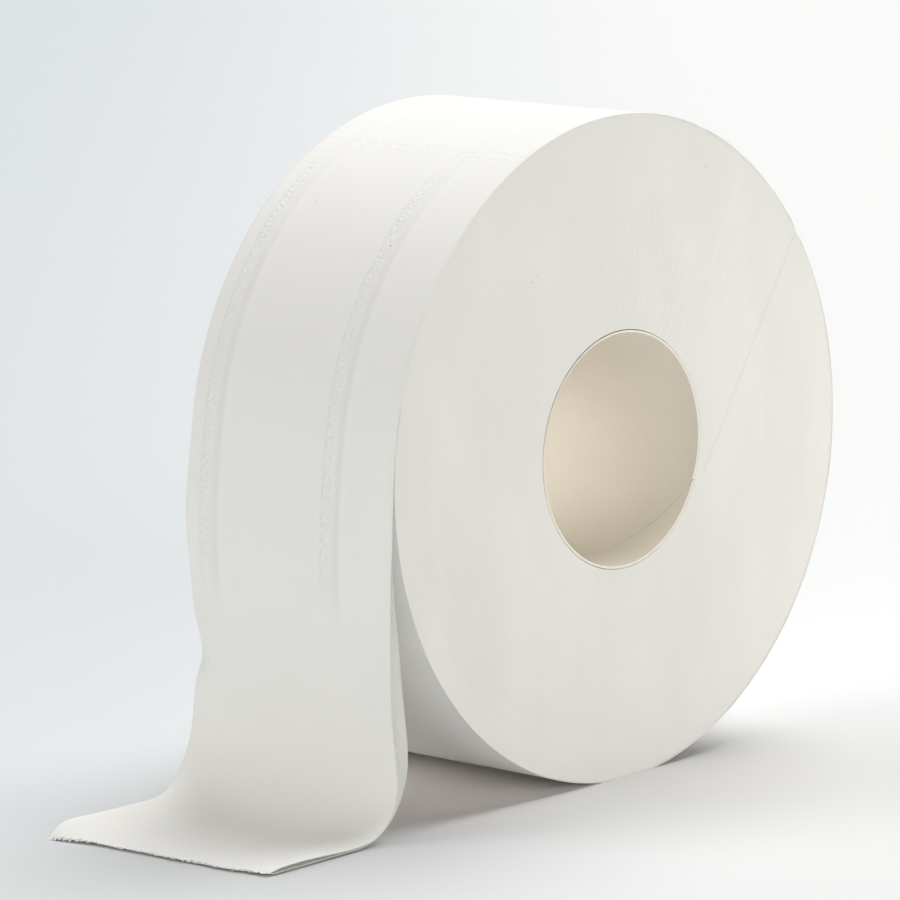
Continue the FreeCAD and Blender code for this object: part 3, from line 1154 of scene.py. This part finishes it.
def stage_camera(studio):
    """A long lens at the photograph's angle. Returns the picture's right and depth along the floor."""
    level = cos(studio.elevation)
    outward = Vector((sin(studio.azimuth) * level, -cos(studio.azimuth) * level, sin(studio.elevation)))
    place = outward * studio.distance
    data = bpy.data.cameras.new("photo_camera")
    data.lens = studio.lens
    camera = bpy.data.objects.new("photo_camera", data)
    back = (place - Vector(studio.aim)).normalized()
    turn = back.to_track_quat("Z", "Y").to_matrix().to_4x4() @ Matrix.Rotation(studio.roll, 4, "Z")
    camera.matrix_world = Matrix.Translation(place) @ turn
    bpy.context.scene.collection.objects.link(camera)
    bpy.context.scene.camera = camera
    side = turn.col[0].to_3d()
    side.z = 0
    side.normalize()
    return side, Vector((-side.y, side.x, 0))


def stage_lamp(name, kind, direction, strength):
    """A soft lamp that shines from this direction."""
    data = bpy.data.lights.new(name, kind)
    data.energy = strength
    lamp = bpy.data.objects.new(name, data)
    lamp.rotation_euler = Vector(direction).to_track_quat("Z", "Y").to_euler()
    bpy.context.scene.collection.objects.link(lamp)
    return lamp


def stage_world(studio):
    """Even light from all round. The camera sees a pale backdrop beyond the floor's edge."""
    world = bpy.data.worlds.new("studio")
    bpy.context.scene.world = world
    world.use_nodes = True
    world.node_tree.nodes.clear()
    graph = Graph(world.node_tree)
    rays = graph.node("ShaderNodeLightPath").outputs
    kinds = ("Is Camera Ray", "Is Glossy Ray", "Is Transmission Ray")
    seen = graph.chain("MAXIMUM", [rays[kind] for kind in kinds])
    room = {"Color": opaque(studio.room), "Strength": studio.room_strength}
    light = graph.node("ShaderNodeBackground", room)
    pale = graph.node("ShaderNodeBackground", {"Color": opaque(studio.backdrop), "Strength": 1.0})
    both = graph.node("ShaderNodeMixShader", {0: seen, 1: light.outputs[0], 2: pale.outputs[0]})
    graph.node("ShaderNodeOutputWorld", {"Surface": both.outputs[0]})


def build_stage(scene):
    studio = scene.roll_studio
    side, depth = stage_camera(studio)
    bm = bmesh.new()
    bmesh.ops.create_circle(bm, cap_ends=True, segments=96, radius=studio.floor_radius)
    bmesh.ops.translate(bm, verts=bm.verts[:], vec=(0, 0, FLOOR_Z))
    mesh = bpy.data.meshes.new("floor")
    bm.to_mesh(mesh)
    bm.free()
    mesh.materials.append(floor_material(scene, side, depth))
    floor = bpy.data.objects.new("floor", mesh)
    scene.collection.objects.link(floor)
    stage_world(studio)
    key = stage_lamp("key", "SUN", studio.key_from, studio.key_strength)
    key.data.angle = studio.key_angle
    low_lamps = (("back", studio.back_from, studio.back_strength),
                 ("front", studio.front_from, studio.front_strength))
    for name, direction, strength in low_lamps:
        lamp = stage_lamp(name, "SUN", direction, strength)
        lamp.data.angle = studio.low_angle
        lamp.data.color = studio.warm
    side_lamp = stage_lamp("side", "AREA", studio.side_place, studio.side_power)
    side_lamp.location = studio.side_place
    side_lamp.data.size = studio.side_size
    scene.view_settings.view_transform = "Standard"


class ROLL_OT_core(bpy.types.Operator):
    """Builds the core, a tube of wound board"""
    bl_idname = "roll.core"
    bl_label = "Core"

    def execute(self, context):
        build_core(context.scene)
        return {"FINISHED"}


class ROLL_OT_wound_turns(bpy.types.Operator):
    """Builds the wound turns under the last one, with their end faces"""
    bl_idname = "roll.wound_turns"
    bl_label = "Wound Turns"

    def execute(self, context):
        build_wound_turns(context.scene)
        return {"FINISHED"}


class ROLL_OT_wound_sheets(bpy.types.Operator):
    """Builds the last turn of the web, down to the last perforation"""
    bl_idname = "roll.wound_sheets"
    bl_label = "Wound Sheets"

    def execute(self, context):
        build_wound_sheets(context.scene)
        return {"FINISHED"}


class ROLL_OT_last_sheet(bpy.types.Operator):
    """Builds the hanging last sheet as its two plies"""
    bl_idname = "roll.last_sheet"
    bl_label = "Last Sheet"

    def execute(self, context):
        build_last_sheet(context.scene)
        return {"FINISHED"}


class ROLL_OT_stage(bpy.types.Operator):
    """Builds the floor, the lamps and the camera"""
    bl_idname = "roll.stage"
    bl_label = "Stage"

    def execute(self, context):
        build_stage(context.scene)
        return {"FINISHED"}


class ROLL_PT_panel(bpy.types.Panel):
    bl_label = "Paper Roll"
    bl_space_type = "VIEW_3D"
    bl_region_type = "UI"
    bl_category = "Paper Roll"

    def draw(self, context):
        for operator in OPERATORS:
            self.layout.operator(operator.bl_idname)
        for name in SETTINGS:
            box = self.layout.box()
            settings = getattr(context.scene, name)
            for label in settings.bl_rna.properties.keys():
                if label not in ("rna_type", "name"):
                    box.prop(settings, label)


OPERATORS = (ROLL_OT_core, ROLL_OT_wound_turns, ROLL_OT_wound_sheets, ROLL_OT_last_sheet, ROLL_OT_stage)
SETTINGS = {
    "roll_sizes": RollSizes,
    "roll_core": CoreSizes,
    "roll_marks": WebMarks,
    "roll_tail": TailShape,
    "roll_finish": Finish,
    "roll_studio": Studio,
}


def register():
    for group in SETTINGS.values():
        bpy.utils.register_class(group)
    for name, group in SETTINGS.items():
        setattr(bpy.types.Scene, name, PointerProperty(type=group))
    for operator in OPERATORS:
        bpy.utils.register_class(operator)
    bpy.utils.register_class(ROLL_PT_panel)


def unregister():
    bpy.utils.unregister_class(ROLL_PT_panel)
    for operator in reversed(OPERATORS):
        bpy.utils.unregister_class(operator)
    for name in SETTINGS:
        delattr(bpy.types.Scene, name)
    for group in reversed(SETTINGS.values()):
        bpy.utils.unregister_class(group)


def main():
    register()
    bpy.ops.roll.core()
    bpy.ops.roll.wound_turns()
    bpy.ops.roll.wound_sheets()
    bpy.ops.roll.last_sheet()
    bpy.ops.roll.stage()


if __name__ == "__main__":
    main()
